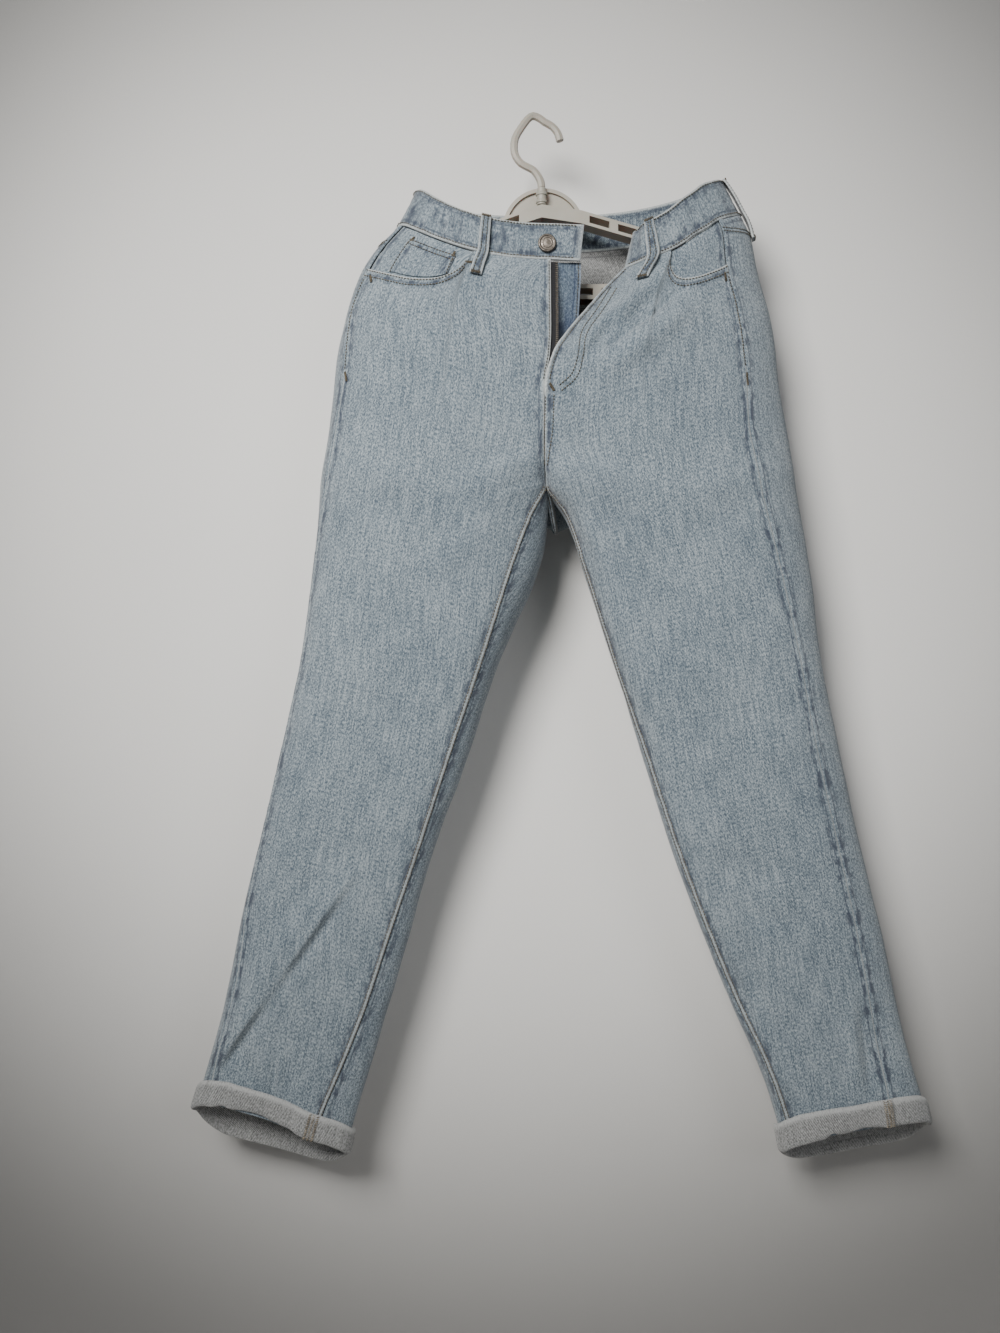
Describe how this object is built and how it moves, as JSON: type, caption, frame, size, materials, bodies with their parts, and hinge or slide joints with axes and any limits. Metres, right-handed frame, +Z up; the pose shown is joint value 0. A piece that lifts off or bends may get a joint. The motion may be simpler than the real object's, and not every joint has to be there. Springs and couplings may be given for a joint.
{
  "type": "boyfriend jeans on a hanger",
  "caption": "Light-wash boyfriend jeans with an open fly and rolled hems, hanging flat on a plain plastic hanger.",
  "frame": {"origin": "the point under the hook's crown where the hanger hangs from a rail or strap", "axes": "+Z up, +X towards the wearer's left, and the jeans' front faces -Y"},
  "size_m": [0.7377, 0.1088, 1.0552],
  "materials": {
    "denim": "light-wash cotton twill",
    "denim_reverse": "wrong side of the twill",
    "shield_denim": "unfaded indigo twill",
    "zip_tape": "woven tape",
    "pewter": "antiqued",
    "hanger_plastic": "satin moulded"
  },
  "bodies": {
    "root": {"front_right": "denim", "front_left": "denim", "back_right": "denim", "back_left": "denim", "yoke_right": "denim", "yoke_left": "denim", "waistband": "denim", "belt_loop_front_right": "denim", "belt_loop_side_right": "denim", "belt_loop_back": "denim", "belt_loop_side_left": "denim", "belt_loop_front_left": "denim", "pocket_facing_right": "denim", "pocket_facing_left": "denim", "coin_pocket": "denim", "back_pocket_right": "denim", "back_pocket_left": "denim", "cuff_right": "denim_reverse", "cuff_left": "denim_reverse", "fly_shield": "shield_denim", "zip_tape_right": "zip_tape", "zip_tape_left": "zip_tape", "button": "pewter", "hanger_hook": "hanger_plastic", "hanger_stem": "hanger_plastic", "hanger_disc": "hanger_plastic", "hanger_rim": "hanger_plastic", "hanger_frame": "hanger_plastic"}
  },
  "joints": []
}
